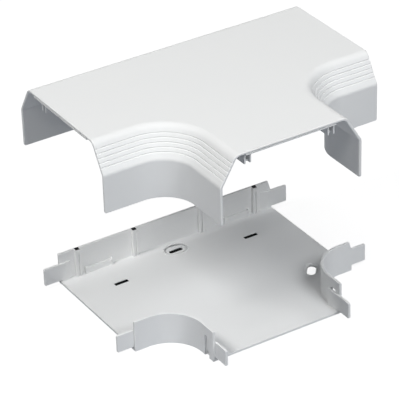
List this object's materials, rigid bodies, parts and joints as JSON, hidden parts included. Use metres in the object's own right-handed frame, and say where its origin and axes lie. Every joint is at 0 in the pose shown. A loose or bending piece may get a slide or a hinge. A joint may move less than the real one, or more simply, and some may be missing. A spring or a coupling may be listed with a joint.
{
  "type": "raceway tee",
  "caption": "Tee fitting for surface cable raceway: a shallow walled base with joining tongues, and a push-fit cover with sloped shoulders, shown lifted off.",
  "frame": {"origin": "crossing of the run's and the branch's centre lines, on the underside of the base", "axes": "+X along the straight run, +Y towards the straight back wall, the branch leaves towards -Y, +Z out from the wall that the base is fixed to"},
  "size_m": [0.275, 0.211, 0.2101],
  "materials": {
    "base_plastic": "smooth moulded white rigid plastic, semi-matte",
    "cover_plastic": "smooth moulded white rigid plastic, semi-matte"
  },
  "bodies": {
    "base": {"base": "base_plastic"},
    "cover": {"cover": "cover_plastic"}
  },
  "joints": [
    {"name": "cover_lift", "type": "slide", "parent": "base", "child": "cover", "axis": [0, 0, 1], "range_m": [-0.148, 0]}
  ]
}
